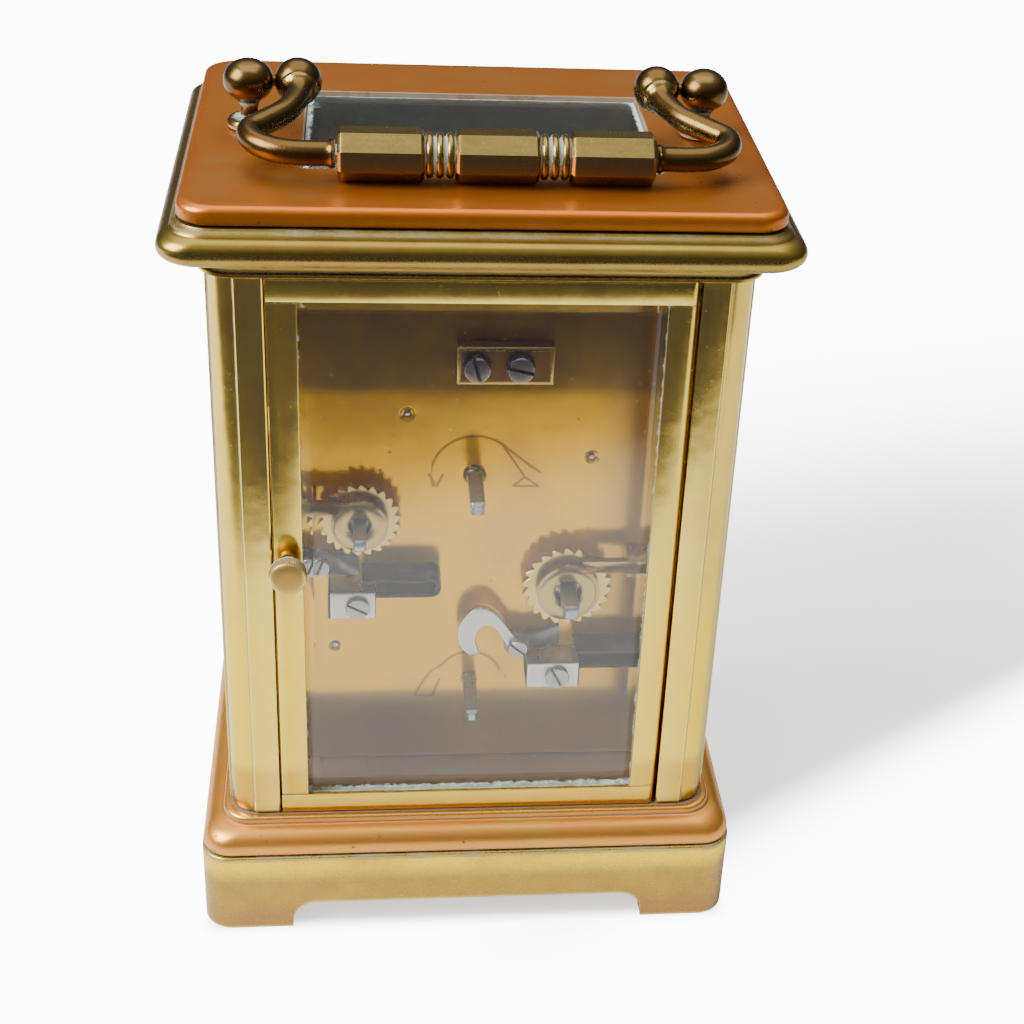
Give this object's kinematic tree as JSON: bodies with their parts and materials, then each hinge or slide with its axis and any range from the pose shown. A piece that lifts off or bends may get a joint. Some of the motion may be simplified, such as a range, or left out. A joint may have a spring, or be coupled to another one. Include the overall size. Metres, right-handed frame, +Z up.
{
  "type": "travel alarm clock",
  "caption": "Glazed brass travel alarm clock with bevelled panes, folding top handle, rear winding door, enamel dial with an alarm circle and a visible movement.",
  "frame": {"origin": "centre of the footprint, on the plane that the four bracket feet stand on", "axes": "+Z up, the dial faces -Y and the rear winding door faces +Y, +X is to the right when the dial is read"},
  "size_m": [0.0956, 0.0734, 0.1468],
  "materials": {
    "case_brass": "aged polished brass with darker patches",
    "lacquered_brass": "orange-brown lacquered brass, brighter on the arrises",
    "handle_brass": "olive-brown brass, rubbed bright on the edges",
    "movement_brass": "polished brass with small spots",
    "steel": "grey steel with a dull polish",
    "blued_steel": "heat blued",
    "bell_metal": "silvered, slightly dull",
    "enamel": "white fired enamel with black figures",
    "glass": "bevelled clear glass with dust along its edges"
  },
  "bodies": {
    "case": {"base_plinth": "case_brass", "base_moulding": "lacquered_brass", "column_rear_left": "case_brass", "column_rear_right": "case_brass", "column_front_left": "case_brass", "column_front_right": "case_brass", "cornice": "case_brass", "top_plate": "lacquered_brass", "top_glass": "glass", "front_glass": "glass", "left_glass": "glass", "right_glass": "glass", "hinge_pin_upper": "steel", "hinge_pin_lower": "steel", "handle_post_left": "handle_brass", "handle_post_right": "handle_brass", "back_plate": "movement_brass", "front_plate": "movement_brass", "pillar_lower_left": "movement_brass", "pillar_lower_right": "movement_brass", "pillar_upper_left": "movement_brass", "pillar_upper_right": "movement_brass", "platform": "bell_metal", "balance_cock": "bell_metal", "contrate_end_block": "movement_brass", "block_screw_left": "steel", "block_screw_right": "steel", "going_ratchet_cock": "movement_brass", "alarm_ratchet_cock": "movement_brass", "going_click_spring": "steel", "alarm_click_spring": "steel", "going_click_screw": "steel", "alarm_click_screw": "steel", "dial": "enamel", "bell": "bell_metal"},
    "rear_door": {"door_frame": "case_brass", "door_glass": "glass", "door_knob": "case_brass"},
    "handle": {"handle_grip": "handle_brass", "handle_arm_left": "handle_brass", "handle_arm_right": "handle_brass"},
    "going_barrel": {"going_barrel": "movement_brass"},
    "going_winding_arbor": {"going_winding_arbor": "steel"},
    "going_click": {"going_click": "steel"},
    "second_wheel": {"second_wheel": "movement_brass"},
    "centre_wheel": {"centre_wheel": "movement_brass", "minute_hand": "blued_steel"},
    "hour_hand": {"hour_hand": "movement_brass"},
    "minute_wheel": {"minute_wheel": "movement_brass"},
    "third_wheel": {"third_wheel": "movement_brass"},
    "contrate_wheel": {"contrate_wheel": "movement_brass"},
    "escape_wheel": {"escape_wheel": "movement_brass"},
    "pallet_lever": {"pallet_lever": "steel"},
    "balance": {"balance_wheel": "movement_brass"},
    "alarm_barrel": {"alarm_barrel": "movement_brass"},
    "alarm_winding_arbor": {"alarm_winding_arbor": "steel"},
    "alarm_click": {"alarm_click": "steel"},
    "alarm_escape_wheel": {"alarm_escape_wheel": "movement_brass"},
    "alarm_hammer": {"alarm_hammer": "steel"},
    "alarm_set_arbor": {"alarm_set_arbor": "steel"}
  },
  "joints": [
    {"name": "door_swing", "type": "hinge", "parent": "case", "child": "rear_door", "pos_m": [-0.0312, 0.0293, 0.022], "axis": [0, 0, 1], "range_deg": [0, 100]},
    {"name": "handle_swing", "type": "hinge", "parent": "case", "child": "handle", "pos_m": [0, 0, 0.1431], "axis": [1, 0, 0], "range_deg": [0, 197]},
    {"name": "going_barrel_turn", "type": "hinge", "parent": "case", "child": "going_barrel", "pos_m": [-0.0162, 0, 0.0611], "axis": [0, 1, 0], "continuous": true},
    {"name": "second_wheel_turn", "type": "hinge", "parent": "case", "child": "second_wheel", "pos_m": [-0.0195, 0, 0.0848], "axis": [0, 1, 0], "continuous": true},
    {"name": "centre_wheel_turn", "type": "hinge", "parent": "case", "child": "centre_wheel", "pos_m": [0, 0, 0.0815], "axis": [0, 1, 0], "continuous": true},
    {"name": "hour_hand_turn", "type": "hinge", "parent": "case", "child": "hour_hand", "pos_m": [0, 0, 0.0815], "axis": [0, 1, 0], "continuous": true},
    {"name": "minute_wheel_turn", "type": "hinge", "parent": "case", "child": "minute_wheel", "pos_m": [-0.00594, 0, 0.07556], "axis": [0, 1, 0], "continuous": true},
    {"name": "third_wheel_turn", "type": "hinge", "parent": "case", "child": "third_wheel", "pos_m": [0.0112, 0, 0.0929], "axis": [0, 1, 0], "continuous": true},
    {"name": "contrate_wheel_turn", "type": "hinge", "parent": "case", "child": "contrate_wheel", "pos_m": [-0.0043, 0, 0.1015], "axis": [0, 1, 0], "continuous": true},
    {"name": "escape_wheel_turn", "type": "hinge", "parent": "case", "child": "escape_wheel", "pos_m": [-0.0043, 0.00119, 0.1153], "axis": [0, 0, 1], "continuous": true},
    {"name": "lever_swing", "type": "hinge", "parent": "case", "child": "pallet_lever", "pos_m": [0.0013, 0.00119, 0.1153], "axis": [0, 0, 1], "range_deg": [-8, 8]},
    {"name": "balance_swing", "type": "hinge", "parent": "case", "child": "balance", "pos_m": [0.0089, 0.00119, 0.1169], "axis": [0, 0, 1], "range_deg": [-135, 135], "stiffness_Nm_per_rad": 0.00001},
    {"name": "going_winding", "type": "hinge", "parent": "case", "child": "going_winding_arbor", "pos_m": [-0.0162, 0, 0.0611], "axis": [0, 1, 0], "continuous": true},
    {"name": "alarm_winding", "type": "hinge", "parent": "case", "child": "alarm_winding_arbor", "pos_m": [0.019, 0, 0.0746], "axis": [0, 1, 0], "continuous": true},
    {"name": "going_click_lift", "type": "hinge", "parent": "case", "child": "going_click", "pos_m": [-0.0081, 0, 0.0492], "axis": [0, -1, 0], "range_deg": [0, 6], "stiffness_Nm_per_rad": 0.002, "springref_deg": -2.86},
    {"name": "alarm_click_lift", "type": "hinge", "parent": "case", "child": "alarm_click", "pos_m": [0.0257, 0, 0.0663], "axis": [0, -1, 0], "range_deg": [0, 6], "stiffness_Nm_per_rad": 0.002, "springref_deg": -2.86},
    {"name": "alarm_barrel_turn", "type": "hinge", "parent": "case", "child": "alarm_barrel", "pos_m": [0.019, 0, 0.0746], "axis": [0, 1, 0], "continuous": true},
    {"name": "alarm_escape_turn", "type": "hinge", "parent": "case", "child": "alarm_escape_wheel", "pos_m": [0.0205, 0, 0.0614], "axis": [0, 1, 0], "continuous": true},
    {"name": "hammer_swing", "type": "hinge", "parent": "case", "child": "alarm_hammer", "pos_m": [0.0234, 0, 0.0471], "axis": [0, 1, 0], "range_deg": [0, 2.4], "stiffness_Nm_per_rad": 0.01, "springref_deg": -2.86},
    {"name": "alarm_setting", "type": "hinge", "parent": "case", "child": "alarm_set_arbor", "pos_m": [0, 0, 0.0398], "axis": [0, 1, 0], "continuous": true}
  ],
  "couplings": [
    {"joint": "second_wheel_turn", "follows": "centre_wheel_turn", "ratio": -0.25},
    {"joint": "going_barrel_turn", "follows": "centre_wheel_turn", "ratio": 0.083333},
    {"joint": "minute_wheel_turn", "follows": "centre_wheel_turn", "ratio": -0.33333},
    {"joint": "hour_hand_turn", "follows": "centre_wheel_turn", "ratio": 0.083333},
    {"joint": "third_wheel_turn", "follows": "centre_wheel_turn", "ratio": -8},
    {"joint": "contrate_wheel_turn", "follows": "centre_wheel_turn", "ratio": 30},
    {"joint": "escape_wheel_turn", "follows": "centre_wheel_turn", "ratio": 210},
    {"joint": "alarm_escape_turn", "follows": "alarm_barrel_turn", "ratio": -6}
  ]
}
